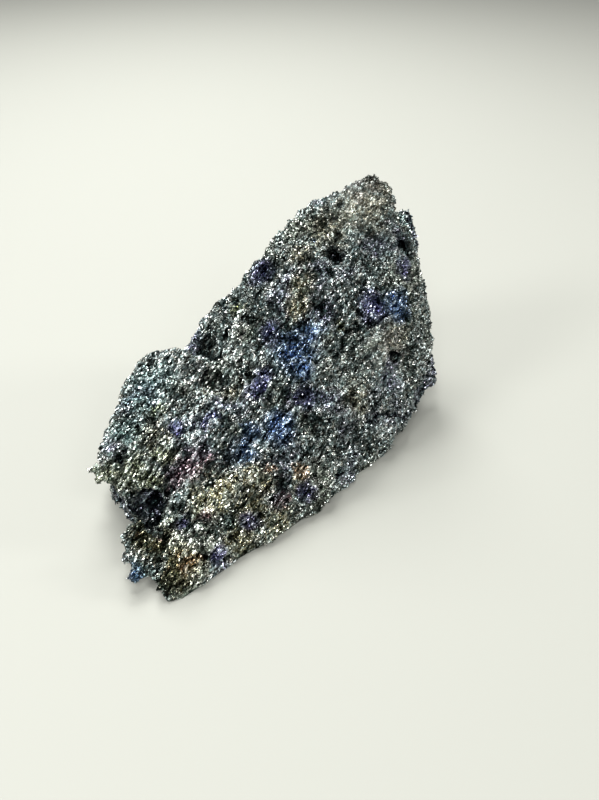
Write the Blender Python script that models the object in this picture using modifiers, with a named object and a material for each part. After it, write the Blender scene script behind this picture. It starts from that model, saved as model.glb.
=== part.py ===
"""A hand-sized chunk of silicon carbide: small dark crystals grown together in one mass.

Frame: metres, +Z up, +X along the chunk's long axis. The origin is under the middle of its box, on the
surface that it rests on. The broad sloping face looks along -Y, and -X is the low, ragged end.

The chunk is several rough blocks grown into one, with a few hollows sunk in it. The rounded skin is then
raised and sunk along its own normals by swells, lumps, strands, seams, pits and flat-faced crystals, and a
ground cut gives it the face that it rests on.
"""

import math

import bmesh
import bpy
import numpy as np
from mathutils import Quaternion, Vector, noise

NAME = "silicon_carbide_crystal"

# Driving dimensions: the box that the chunk fills.
LENGTH = 0.117
WIDTH = 0.064
HEIGHT = 0.061

# How the skin is made.
VOXEL = 0.00105
SKIN_SMOOTHING = 5
FACE_COUNT = 9600

# The low end is drawn out in strands, which fade towards the middle of the chunk. The grain runs from the
# low end up and to the right.
GRAIN = Vector((0.93, 0.10, 0.35)).normalized()
STRAND_LENGTH = 0.012
STRAND_WIDTH = 0.0026
STRAND_HEIGHT = 0.0008
STRANDS_FADE_FROM = -0.020
STRANDS_FADE_TO = 0.022

# Lumps of two sizes, as (width, height).
LUMPS = ((0.015, 0.0013), (0.0065, 0.0008))

# Flat-faced crystals: each is a cell of the skin that leans and rises as one plane, by random amounts that
# the spreads pick. At the low end the crystals are drawn out along the grain.
CRYSTAL_WIDTH = 0.0040
CRYSTAL_TILT = 0.32
CRYSTAL_RISE = 0.00025
CRYSTAL_DRAW = 2.0
LEAN_SPREAD = 97.0
RISE_SPREAD = 89.0

# The chunk's surface below this height is left smooth, so that the ground cut has a clean rim.
CALM_HEIGHT = 0.0015

# Each block is the hull of its corners. A corner is a share of the half length, of the half width and of
# the height, so (-1, -1, 0) is the box's left front corner on the ground.
BLOCKS = {
    "main mass": (
        # the foot of the broad face and the rim just above it
        (-0.80, -0.92, -0.03), (-0.58, -0.96, 0.04), (-0.05, -0.92, -0.03), (-0.30, -1.05, 0.03),
        (-0.05, -0.97, 0.06), (0.26, -0.95, 0.02), (0.40, -0.93, 0.08), (0.60, -0.84, 0.07),
        (0.78, -0.70, 0.14), (0.84, -0.64, 0.21),
        # the steep right end
        (0.84, -0.53, 0.31), (0.865, -0.41, 0.42), (0.885, -0.33, 0.53), (0.90, -0.20, 0.64),
        # the peak and the ridge that falls from it
        (0.84, -0.04, 0.84), (0.84, 0.04, 0.96), (0.79, 0.14, 1.00), (0.72, 0.20, 0.99),
        (0.57, 0.37, 0.87), (0.45, 0.52, 0.83), (0.33, 0.56, 0.73), (0.13, 0.64, 0.57), (-0.01, 0.60, 0.45),
        # the bulge of the broad face
        (-0.30, -0.62, 0.26), (0.00, -0.68, 0.33), (0.42, -0.60, 0.52), (0.66, -0.46, 0.64),
        # the back and the underside
        (-0.18, 0.76, 0.27), (-0.34, 0.86, 0.10), (-0.26, 0.90, -0.03), (0.18, 0.96, -0.03), (0.22, 0.94, 0.28),
        (0.48, 0.84, 0.12), (0.52, 0.80, 0.44), (0.70, 0.44, 0.72), (0.80, 0.38, 0.32), (0.72, 0.60, 0.16),
        (0.62, 0.62, -0.03), (0.66, 0.16, 0.03), (0.44, -0.50, -0.03),
    ),
    "left lobe": (
        (-0.80, 0.21, 0.31), (-0.82, -0.05, 0.25), (-0.72, 0.28, 0.32), (-0.59, 0.46, 0.35),
        (-0.45, 0.64, 0.37), (-0.24, 0.56, 0.40), (-0.52, -0.32, 0.34), (-0.70, -0.24, 0.29),
        (-0.34, -0.48, 0.34), (-0.26, 0.72, 0.16), (-0.52, 0.70, 0.06), (-0.72, 0.38, 0.05),
        (-0.74, -0.06, 0.12), (-0.58, -0.44, 0.14), (-0.18, -0.64, 0.18), (-0.40, 0.50, -0.03),
        (-0.62, 0.10, -0.03), (-0.84, -0.16, 0.24), (-0.76, -0.34, 0.25),
    ),
    "shoulder": (
        (-0.43, 0.66, 0.39), (-0.39, 0.68, 0.41), (-0.30, 0.58, 0.43), (-0.21, 0.54, 0.43),
        (-0.30, 0.20, 0.42), (-0.14, 0.20, 0.42), (-0.40, 0.74, 0.26), (-0.16, 0.76, 0.26), (-0.24, 0.30, 0.16),
    ),
    "left end": (
        (-0.82, -0.16, 0.22), (-0.84, -0.29, 0.17), (-0.88, -0.42, 0.13), (-0.83, 0.06, 0.22),
        (-0.78, 0.24, 0.18), (-0.76, 0.10, 0.04), (-0.86, -0.40, 0.00), (-0.72, -0.54, 0.20),
        (-0.60, -0.40, 0.26), (-0.55, 0.20, 0.24), (-0.50, 0.00, -0.03), (-0.76, -0.30, -0.03),
        (-0.84, -0.58, 0.00), (-0.78, -0.60, -0.03), (-0.60, -0.70, -0.03), (-0.84, -0.60, 0.12),
    ),
    "toe": (
        (-1.01, -0.98, 0.00), (-1.02, -0.82, 0.05), (-0.86, -1.00, -0.02), (-0.72, -0.98, 0.00),
        (-0.45, -1.01, 0.05), (-0.90, -0.82, 0.15), (-0.66, -0.76, 0.21), (-0.42, -0.70, 0.24),
        (-0.34, -0.93, 0.10), (-0.86, -0.66, 0.00), (-0.30, -0.40, 0.02), (-0.78, -0.52, 0.04),
        (-0.40, -0.50, 0.22), (-0.70, -0.84, -0.03), (-0.30, -0.80, -0.03),
    ),
    "lower nub": (
        (-1.02, -0.50, 0.11), (-0.97, -0.41, 0.14), (-0.91, -0.36, 0.16), (-1.01, -0.56, 0.06),
        (-0.84, -0.34, 0.13), (-0.76, -0.48, 0.14), (-0.74, -0.62, 0.08), (-0.80, -0.38, 0.04),
        (-0.96, -0.62, 0.12),
    ),
    "bead": (
        (-1.05, -0.67, 0.07), (-1.04, -0.73, 0.05), (-1.00, -0.62, 0.10), (-0.82, -0.70, 0.10),
        (-0.84, -0.62, 0.03), (-0.84, -0.78, 0.04), (-1.02, -0.66, 0.02),
    ),
    "spur": (
        (-0.94, 0.12, 0.28), (-0.93, -0.06, 0.22), (-0.88, 0.08, 0.28), (-0.74, 0.14, 0.29),
        (-0.74, -0.06, 0.22), (-0.72, 0.04, 0.32), (-0.90, 0.06, 0.22),
    ),
    "horn": (
        (0.90, 0.00, 0.83), (0.95, -0.02, 0.84), (0.975, -0.08, 0.82), (0.97, -0.12, 0.74), (0.93, -0.20, 0.62),
        (0.80, -0.06, 0.64), (0.78, 0.14, 0.70), (0.86, 0.24, 0.66), (0.82, 0.20, 0.56), (0.91, -0.26, 0.52),
    ),
}

# Hollows sunk in the grown mass. Each of these is a hull of its corners, in the same shares.
HOLLOWS = {
    "cave under the left lobe": (
        (-0.98, -0.22, 0.21), (-0.96, -0.38, 0.15), (-0.84, -0.54, 0.14), (-0.80, -0.48, 0.22),
        (-0.72, -0.14, 0.18), (-0.70, -0.24, 0.10), (-0.75, -0.12, 0.10),
    ),
    "gap behind the nub": (
        (-0.79, -0.33, 0.18), (-0.75, -0.39, 0.18), (-0.90, -0.59, 0.19), (-0.86, -0.65, 0.19),
        (-0.95, -0.65, 0.16), (-0.92, -0.70, 0.17), (-0.76, -0.26, 0.06), (-0.73, -0.32, 0.06),
        (-0.83, -0.40, 0.06), (-0.80, -0.46, 0.06),
    ),
    "notch by the horn": (
        (0.92, -0.02, 0.96), (0.98, -0.06, 0.92), (0.86, -0.14, 0.94), (0.82, 0.02, 0.80), (0.86, -0.02, 0.76),
        (1.00, 0.20, 0.94), (0.92, 0.24, 0.80),
    ),
}

# Each hole narrows from its mouth to its floor, as (mouth, floor, width of the mouth).
HOLES = {
    "beside the shoulder": ((-0.15, 0.38, 0.49), (-0.04, 0.60, 0.36), 0.0074),
    "in the broad face": ((-0.14, -0.70, 0.45), (-0.00, -0.42, 0.31), 0.0070),
    "under the peak": ((0.37, -0.12, 0.80), (0.48, 0.10, 0.68), 0.0064),
    "by the horn": ((0.69, -0.32, 0.76), (0.79, -0.16, 0.69), 0.0058),
    "on the right": ((0.42, -0.74, 0.41), (0.50, -0.58, 0.34), 0.0060),
    "low on the right": ((0.51, -0.80, 0.29), (0.60, -0.64, 0.23), 0.0054),
    "low on the left": ((-0.67, -0.93, 0.19), (-0.58, -0.68, 0.05), 0.0056),
    "in the back": ((0.12, 1.04, 0.44), (0.08, 0.86, 0.36), 0.0080),
    "in the back's right": ((0.68, 0.76, 0.46), (0.56, 0.52, 0.36), 0.0080),
    "in the back's left": ((-0.56, 0.84, 0.26), (-0.48, 0.60, 0.16), 0.0070),
}
HOLE_SIDES = 7
HOLE_FLOOR_SHARE = 0.45

# Seams are creases along a line of points, as (points, width, depth). Swells are raised places and dips are
# sunk ones, as (point, width, height). Points are in the same shares.
SEAMS = {
    "ledge over the lower band": (
        ((-0.72, -0.34, 0.22), (-0.57, -0.33, 0.27), (-0.40, -0.59, 0.24), (-0.23, -0.78, 0.22)),
        0.0022, 0.0020,
    ),
    "crease over the rim lobe": (
        ((0.20, -0.84, 0.21), (0.28, -0.84, 0.18), (0.40, -0.82, 0.18), (0.50, -0.76, 0.20)),
        0.0016, 0.0018,
    ),
    "step beside the shoulder": (
        ((-0.25, 0.60, 0.42), (-0.19, 0.35, 0.44), (-0.20, 0.05, 0.42), (-0.28, -0.15, 0.38)),
        0.0026, 0.0016,
    ),
    "root of the spur": (
        ((-0.88, -0.12, 0.26), (-0.86, 0.02, 0.29), (-0.84, 0.14, 0.31)),
        0.0013, 0.0022,
    ),
    "furrow down the back": (
        ((0.45, 0.56, 0.62), (0.30, 0.86, 0.40), (0.20, 0.96, 0.12)),
        0.0030, 0.0022,
    ),
    "ledge along the back": (
        ((0.72, 0.50, 0.40), (0.40, 0.84, 0.28), (0.00, 0.92, 0.22), (-0.34, 0.84, 0.14)),
        0.0028, 0.0018,
    ),
    "between the nub and the toe": (
        ((-1.04, -0.60, 0.09), (-0.94, -0.68, 0.14), (-0.86, -0.66, 0.16)),
        0.0014, 0.0018,
    ),
}
DIPS = {
    "middle": ((0.16, -0.62, 0.38), 0.0030, 0.0014),
    "ridge": ((0.30, 0.24, 0.68), 0.0034, 0.0014),
    "lower left corner": ((-0.75, -0.78, 0.17), 0.0024, 0.0014),
    "behind the peak": ((0.72, 0.40, 0.72), 0.0060, 0.0016),
}
SWELLS = {
    "rim lobe": ((0.27, -0.92, 0.12), 0.0060, 0.0012),
    "lower band": ((-0.40, -0.86, 0.16), 0.0110, 0.0010),
    "left lobe": ((-0.52, 0.06, 0.36), 0.0110, 0.0012),
    "brow": ((0.62, -0.10, 0.82), 0.0090, 0.0008),
    "flank": ((0.55, -0.50, 0.52), 0.0100, 0.0010),
    "back knob": ((0.34, 0.88, 0.22), 0.0090, 0.0022),
    "back shelf": ((-0.10, 0.86, 0.20), 0.0080, 0.0018),
}


def at(u, v, w):
    """The point at these shares of the half length, the half width and the height."""
    return Vector((u * LENGTH / 2, v * WIDTH / 2, w * HEIGHT))


def clear_scene():
    for obj in list(bpy.data.objects):
        bpy.data.objects.remove(obj, do_unlink=True)


def new_collection(name):
    collection = bpy.data.collections.new(name)
    bpy.context.scene.collection.children.link(collection)
    return collection


def hulls(name, shapes, collection):
    """One object that holds the convex hull of each shape's points."""
    bm = bmesh.new()
    for points in shapes:
        verts = [bm.verts.new(point) for point in points]
        made = bmesh.ops.convex_hull(bm, input=verts)
        spare = {v for v in made["geom_interior"] + made["geom_unused"] if isinstance(v, bmesh.types.BMVert)}
        bmesh.ops.delete(bm, geom=list(spare), context="VERTS")
    mesh = bpy.data.meshes.new(name)
    bm.to_mesh(mesh)
    bm.free()
    obj = bpy.data.objects.new(name, mesh)
    collection.objects.link(obj)
    return obj


def block_points(corners):
    """A block's corners as points."""
    return [at(*corner) for corner in corners]


def hole_points(mouth, floor, width):
    """A ring of points round the mouth and a smaller one round the floor."""
    down = at(*floor) - at(*mouth)
    across = down.orthogonal().normalized() * width / 2
    ring = [Quaternion(down, 2 * math.pi * i / HOLE_SIDES) @ across for i in range(HOLE_SIDES)]
    return [at(*mouth) + side for side in ring] + [at(*floor) + side * HOLE_FLOOR_SHARE for side in ring]


def grow_together(obj):
    """Makes one skin round all that the object holds."""
    remesh = obj.modifiers.new("grown together", "REMESH")
    remesh.mode = "VOXEL"
    remesh.voxel_size = VOXEL


def cut(obj, cutter):
    """Takes the cutter's shape out of the object."""
    cutter.hide_render = True
    cutter.display_type = "WIRE"
    boolean = obj.modifiers.new("cut by " + cutter.name, "BOOLEAN")
    boolean.operation = "DIFFERENCE"
    boolean.object = cutter


def evaluated_mesh(obj):
    graph = bpy.context.evaluated_depsgraph_get()
    return bpy.data.meshes.new_from_object(obj.evaluated_get(graph))


def rounded_skin(parts, cutters):
    """All the blocks grown into one closed skin, less the hollows, with softened edges."""
    blocks = hulls("blocks", [block_points(corners) for corners in BLOCKS.values()], parts)
    sunk = [block_points(corners) for corners in HOLLOWS.values()]
    sunk += [hole_points(*hole) for hole in HOLES.values()]
    hollows = hulls("hollows", sunk, cutters)
    grow_together(blocks)
    grow_together(hollows)
    cut(blocks, hollows)
    grow_together(blocks)
    smooth = blocks.modifiers.new("softened edges", "SMOOTH")
    smooth.iterations = SKIN_SMOOTHING
    skin = evaluated_mesh(blocks)
    bpy.data.objects.remove(blocks)
    bpy.data.objects.remove(hollows)
    return skin


def bell(distance, width):
    """1 at no distance, falling smoothly to almost 0 at twice the width."""
    return np.exp(-((distance / width) ** 2))


def distance_to_line(points, line):
    """How far each point is from a line of straight runs."""
    nearest = np.full(len(points), np.inf)
    for start, end in zip(line, line[1:]):
        run = np.array(end - start)
        along = np.clip((points - np.array(start)) @ run / (run @ run), 0.0, 1.0)
        foot = np.array(start) + along[:, None] * run
        nearest = np.minimum(nearest, np.linalg.norm(points - foot, axis=1))
    return nearest


def named_relief(points):
    """The seams, dips and swells, as a height over each point."""
    height = np.zeros(len(points))
    for line, width, depth in SEAMS.values():
        height -= depth * bell(distance_to_line(points, [at(*p) for p in line]), width)
    for centre, width, depth in DIPS.values():
        height -= depth * bell(np.linalg.norm(points - np.array(at(*centre)), axis=1), width)
    for centre, width, rise in SWELLS.values():
        height += rise * bell(np.linalg.norm(points - np.array(at(*centre)), axis=1), width)
    return height


def strand_share(point):
    """1 at the low end, where the chunk is drawn out in strands, and 0 past the middle."""
    share = (STRANDS_FADE_TO - point.x) / (STRANDS_FADE_TO - STRANDS_FADE_FROM)
    return min(1.0, max(0.0, share))


def drawn(point, draw):
    """The point with its place along the grain divided by draw, so that what reads it is drawn out."""
    along = point.dot(GRAIN)
    return point + GRAIN * along * (1.0 / draw - 1.0)


def lumps_and_strands(point):
    """The height of the round lumps of both sizes, and of the strands, at a point of the skin."""
    height = sum(rise * noise.noise(point / width) for width, rise in LUMPS)
    stretched = drawn(point, STRAND_LENGTH / STRAND_WIDTH) / STRAND_WIDTH
    return height + strand_share(point) * STRAND_HEIGHT * noise.noise(stretched)


def crystal_facet(point):
    """The height of the tilted plane of the crystal that this point belongs to."""
    draw = CRYSTAL_DRAW if strand_share(point) > 0.5 else 1.0
    place = drawn(point, draw) / CRYSTAL_WIDTH
    centre = noise.voronoi(place)[1][0]
    lean = noise.cell_vector(centre * LEAN_SPREAD)
    tilt = (lean - Vector((0.5, 0.5, 0.5))) * 2.0 * CRYSTAL_TILT
    rise = CRYSTAL_RISE * (2.0 * noise.cell(centre * RISE_SPREAD) - 1.0)
    return tilt.dot(place - centre) * CRYSTAL_WIDTH + rise


def raise_relief(skin):
    """Moves each vertex of the skin along its normal by the height of the relief there."""
    points = np.empty(3 * len(skin.vertices))
    normals = np.empty(3 * len(skin.vertices))
    skin.vertices.foreach_get("co", points)
    skin.vertices.foreach_get("normal", normals)
    points = points.reshape(-1, 3)
    normals = normals.reshape(-1, 3)
    points += normals * named_relief(points)[:, None]
    height = np.array([lumps_and_strands(Vector(p)) for p in points])
    height += np.array([crystal_facet(Vector(p)) for p in points])
    height *= np.clip(points[:, 2] / CALM_HEIGHT, 0.0, 1.0)
    points += normals * height[:, None]
    skin.vertices.foreach_set("co", points.ravel())
    skin.update()


def ground(collection):
    """A wide block whose top is the surface that the chunk rests on."""
    bm = bmesh.new()
    bmesh.ops.create_cube(bm, size=1.0)
    bmesh.ops.scale(bm, vec=(2 * LENGTH, 2 * WIDTH, HEIGHT), verts=bm.verts)
    bmesh.ops.translate(bm, vec=(0.0, 0.0, -HEIGHT / 2), verts=bm.verts)
    mesh = bpy.data.meshes.new("ground")
    bm.to_mesh(mesh)
    bm.free()
    obj = bpy.data.objects.new("ground", mesh)
    collection.objects.link(obj)
    return obj


def fill_box(mesh):
    """Sets the mesh in its box: its middle over the origin, and its sides the driving dimensions."""
    points = np.empty(3 * len(mesh.vertices))
    mesh.vertices.foreach_get("co", points)
    points = points.reshape(-1, 3)
    low = points.min(axis=0)
    high = points.max(axis=0)
    middle = (low + high) / 2
    middle[2] = 0.0
    points = (points - middle) * np.array((LENGTH, WIDTH, HEIGHT)) / (high - low)
    mesh.vertices.foreach_set("co", points.ravel())
    mesh.update()


def dark_crystal():
    material = bpy.data.materials.new("dark crystal")
    material.use_nodes = True
    shader = material.node_tree.nodes["Principled BSDF"]
    shader.inputs["Base Color"].default_value = (0.075, 0.080, 0.085, 1.0)
    shader.inputs["Metallic"].default_value = 0.9
    shader.inputs["Roughness"].default_value = 0.28
    return material


def main():
    clear_scene()
    parts = new_collection(NAME)
    cutters = new_collection("cutters")
    skin = rounded_skin(parts, cutters)
    raise_relief(skin)

    rough = bpy.data.objects.new("rough chunk", skin)
    parts.objects.link(rough)
    thin = rough.modifiers.new("fewer faces", "DECIMATE")
    thin.ratio = FACE_COUNT / (2 * len(skin.polygons))
    table = ground(cutters)
    cut(rough, table)

    mesh = evaluated_mesh(rough)
    bpy.data.objects.remove(rough)
    fill_box(mesh)
    mesh.materials.clear()
    mesh.materials.append(dark_crystal())
    parts.objects.link(bpy.data.objects.new(NAME, mesh))


main()
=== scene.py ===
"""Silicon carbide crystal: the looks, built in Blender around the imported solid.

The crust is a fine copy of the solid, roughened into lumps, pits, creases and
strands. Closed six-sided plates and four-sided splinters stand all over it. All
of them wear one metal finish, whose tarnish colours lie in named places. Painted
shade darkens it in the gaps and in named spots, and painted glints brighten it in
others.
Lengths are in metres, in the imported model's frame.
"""

import collections
import functools
import itertools
import math
from typing import NamedTuple

import bmesh
import bpy
import numpy as np
from bpy.props import FloatProperty, FloatVectorProperty, IntProperty, PointerProperty
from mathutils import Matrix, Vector


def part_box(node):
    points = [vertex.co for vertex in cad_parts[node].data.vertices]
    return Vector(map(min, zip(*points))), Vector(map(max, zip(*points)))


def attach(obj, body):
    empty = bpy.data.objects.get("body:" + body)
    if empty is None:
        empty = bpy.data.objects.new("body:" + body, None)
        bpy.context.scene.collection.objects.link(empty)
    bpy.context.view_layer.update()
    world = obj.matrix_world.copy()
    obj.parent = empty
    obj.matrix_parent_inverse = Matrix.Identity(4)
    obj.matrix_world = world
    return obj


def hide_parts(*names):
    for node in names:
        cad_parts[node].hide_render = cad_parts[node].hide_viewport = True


bl_info = {
    "name": "Silicon carbide crystal",
    "version": (1, 0, 0),
    "blender": (4, 5, 0),
    "location": "View3D > Sidebar > Crystal",
    "description": "Builds a silicon carbide crystal, its finish and its studio",
    "category": "Object",
}

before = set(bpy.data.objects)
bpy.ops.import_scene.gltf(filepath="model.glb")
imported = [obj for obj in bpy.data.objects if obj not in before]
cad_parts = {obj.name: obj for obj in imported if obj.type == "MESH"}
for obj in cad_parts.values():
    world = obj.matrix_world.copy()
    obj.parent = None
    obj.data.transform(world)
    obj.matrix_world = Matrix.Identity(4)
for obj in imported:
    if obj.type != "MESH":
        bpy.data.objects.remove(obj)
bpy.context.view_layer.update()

SOLID = "silicon_carbide_crystal"
LOW, HIGH = (np.array(corner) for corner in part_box(SOLID))
SPAN = HIGH - LOW

MILLIMETRE = 0.001
NOISE_TABLE = 64  # numbers along each side of a noise's table, after which it repeats

# The low end is drawn out along this way, and everything on it lies along it.
GRAIN = np.array((0.89, 0.09, 0.44)) / np.linalg.norm((0.89, 0.09, 0.44))
STRANDS_FROM, STRANDS_TO = 0.80, 0.34  # where strands fade in, in shares of the length
BAND_EDGE = (0.18, 0.34)  # where the lower band ends, in shares of the width
BAND_STRANDS = 0.35  # how far the lower band is drawn out, next to the lobe

# How many times longer than wide each kind of shape is along the grain.
CLUMP_STRETCH, KNOB_STRETCH, GAP_STRETCH, STRAND_STRETCH = 1.6, 2.0, 1.8, 8.0
FACET_STRETCH, LONG_FACET_STRETCH = 1.8, 7.0

# The crust's relief. Its levels go from 0 down in the gaps to 1 on the tops.
HILL_SLOPE, HILL_FOOT = 3.0, 0.7  # slope of the round hills, and depth between them
ROUGH_LEVELS = (-0.25, 0.30)  # the noise where patches are smoothest and roughest
ROUGH_LEAST, ROUGH_MORE = 0.45, 0.75  # relief of the smoothest, and what more there is
GAP_LEVELS = (0.45, 0.68)  # the noise where a gap starts and where it is deepest
HILLS_LOST, GAPS_LOST = 0.85, 0.6  # how far hills and gaps fade among the strands
STRANDS_ELSEWHERE = 0.25  # height of the strands away from the low end
LUMPS_IN_LEVEL = 0.4  # how far the large lumps count in a level
LEVEL_ENDS = (4, 75)  # percentages of the points below level 0 and below level 1
LONG_FACET_TILT = 0.7  # slope of the drawn-out facets, as a share of the others'

# Noise shakes the pits and creases: how wide it is, how far it reaches in
# millimetres, and how much further for each millimetre of their radius.
SHAKE_WIDTH, SHAKE_LEAST, SHAKE_MORE = 1.8 * MILLIMETRE, 0.9, 0.4
BELL = 1.6  # how steep the sides of pits and creases are

# How far the crust's points may move.
JUST_INSIDE = 0.3  # millimetres inside the surface, where thickness is measured from
INWARDS = 0.42  # the furthest inwards, as a share of the thickness
THIN = 4.0 * MILLIMETRE  # below this thickness, they go inwards by less still
FLOOR_CLEAR = 1.2 * MILLIMETRE  # below this height, they ease into the flat foot
CUT_EVENED = 20  # how often the line of a cut through the crust is evened out

# The crystals that stand on the crust.
# Painted shade: crystals and crust facets down in the gaps are darker, by their level.
GAP_SHADE = 0.12  # the spark of a crystal down in a gap, as a share of one on a top
OUTER_END = 0.80  # width of a crystal's outer end, as a share of its inner one
NARROWER, LEAN_LOST = 0.25, 0.6  # how much narrower, and less aslant, among strands
DRAWN_ELSEWHERE = 0.35  # how far they turn to the grain away from the low end
GRAIN_HOLD, GRAIN_PULL = 0.8, 1.8  # how far the grain steadies them and pulls them
STRIP_WIDTH = 1.5 * MILLIMETRE  # width of the strips in which they are ordered

# The flat maps: the margin round each picture of the crust, and the half widths of
# a crystal's inner and outer end in its own square.
MAP_EDGE = 0.02
MAP_REACH = (0.44, 0.24)

# The finish's grains: their size, how far they lean, their least brightness and
# what chance adds, and where they darken towards their edge and to what.
GRAIN_WIDTH, GRAIN_STRETCH, GRAIN_TILT = 0.30 * MILLIMETRE, 3.5, 1.35
GRAIN_LEAST, GRAIN_MORE = 0.20, 3.6
GRAIN_EDGE, GRAIN_RIM = (0.35, 0.75), 0.35
# How fine the finish's noise is, and how far it moves the tarnish and the grains.
WANDER_SCALE, TARNISH_REACH, GRAIN_REACH = 170.0, 7.0 * MILLIMETRE, 2.0 * MILLIMETRE
# The clouds of faint colour: how fine they are, and for each colour the noise where
# it starts and is full, and how strong it is from there to there.
CLOUD_SCALE = 62.0
VIOLET_CLOUDS, GOLD_CLOUDS = (0.50, 0.66, 0.0, 0.42), (0.46, 0.32, 0.0, 0.30)
SPOT_EDGE, SPOT_CORE = 1.35, 0.25  # where a spot ends and where it is full, in radii
TARNISH_LEAST = 0.40  # how strong tarnish is on a crystal of no tone
SPARK_PALES = 0.20  # how much weaker it is on a crystal of full spark
# In the velvet spots: how far crystals grow alike, and their shade and their spark.
SOFTNESS, SOFT_SHADE, SOFT_SPARK = 0.55, 0.75, 0.20
# The dull spots are painted shade, the cave among them, and the sparkling spots painted
# glints and light.
PAINTED_SHADE_DEPTH, PAINTED_GLINT_STRENGTH = 0.75, 0.65  # how strong the dull and the sparkling spots are
SHINE_POWER, PAINTED_GLINT_POWER = 1.1, 0.7  # the powers of the spark in the brightness
PALING = 0.25  # how far the tint of the brightest crystals goes to white
# The metal's roughness at no tone, what full tone takes and what velvet adds.
ROUGHNESS, TONE_POLISH, SOFT_ROUGHNESS = 0.34, 0.16, 0.20

# The seed of each random pattern.
LUMPS, CLUMPS, STRANDS, FACETS, KNOBS, GAPS, LONG_FACETS, PATCHES = (
    11, 12, 13, 14, 16, 17, 18, 19,
)
FACET_FINISH, SHAKES, PLATES, SPLINTERS = 21, (22, 23, 24), 31, 41

# Places are thousandths of the solid's box: along the length, the width and the
# height. Each pit has a place, and a radius and a depth in millimetres.
PITS = {
    "beside the shoulder": ((462, 790, 350), 3.3, 5.5),
    "above the shoulder": ((541, 661, 509), 2.0, 1.4),
    "under the peak": ((747, 547, 718), 2.2, 2.2),
    "in the peak": ((821, 452, 826), 2.0, 1.6),
    "by the horn": ((905, 410, 722), 2.2, 2.4),
    "below the horn": ((895, 366, 690), 1.8, 2.0),
    "high on the left edge": ((688, 587, 718), 1.8, 1.6),
    "in the middle": ((513, 290, 333), 2.2, 2.2),
    "on the right edge": ((802, 207, 509), 2.2, 1.8),
    "right of the middle": ((759, 214, 353), 1.8, 1.7),
    "near the right edge": ((787, 173, 324), 2.0, 1.8),
    "above the blue": ((641, 316, 550), 1.4, 1.2),
    "below the edge": ((635, 406, 618), 1.5, 1.2),
    "low on the right": ((599, 146, 342), 1.2, 1.2),
    "over the right ledge": ((655, 124, 217), 1.6, 1.2),
    "back of the cave": ((158, 337, 198), 1.8, 2.2),
    "mouth of the cave": ((107, 437, 116), 1.6, 1.4),
    "left of the cave": ((90, 440, 115), 2.0, 1.8),
    "corner of the low lobe": ((136, 680, 245), 2.4, 1.6),
    "under the rose patch": ((149, 340, 196), 1.9, 2.8),
    "in the lower band": ((212, 127, 98), 1.6, 1.5),
    "in the toe": ((138, 171, 157), 1.3, 1.2),
}
# Each crease runs between two places, with a half width and a depth in millimetres.
CREASES = {
    "over the lower band": ((250, 313, 248), (330, 260, 215), 0.8, 1.3),
    "left of the rose patch": ((165, 400, 240), (218, 375, 310), 0.9, 1.6),
    "right of the rose patch": ((257, 343, 300), (243, 305, 226), 0.6, 1.0),
    "across the middle": ((470, 200, 315), (535, 130, 286), 0.7, 1.2),
    "over the right ledge": ((600, 112, 196), (705, 92, 184), 0.9, 3.2),
    "down from the peak": ((750, 500, 735), (685, 450, 715), 0.9, 1.8),
    "right of the blue": ((715, 260, 540), (668, 305, 548), 0.6, 1.1),
    "below the middle": ((445, 173, 282), (395, 195, 255), 0.5, 1.0),
    "along the left lobe": ((360, 453, 354), (230, 430, 320), 0.7, 0.9),
    "in the lower band": ((330, 85, 150), (210, 127, 105), 0.7, 1.1),
    "down the cave": ((149, 340, 196), (130, 320, 120), 1.2, 2.4),
    "beside the nub": ((137, 366, 80), (102, 227, 97), 1.1, 2.6),
    "between nub and toe": ((102, 227, 97), (57, 191, 82), 1.0, 2.2),
    "inside the horn": ((905, 425, 800), (905, 410, 722), 0.8, 1.8),
    "above the spur": ((129, 650, 245), (123, 510, 283), 1.2, 3.0),
}
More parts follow.
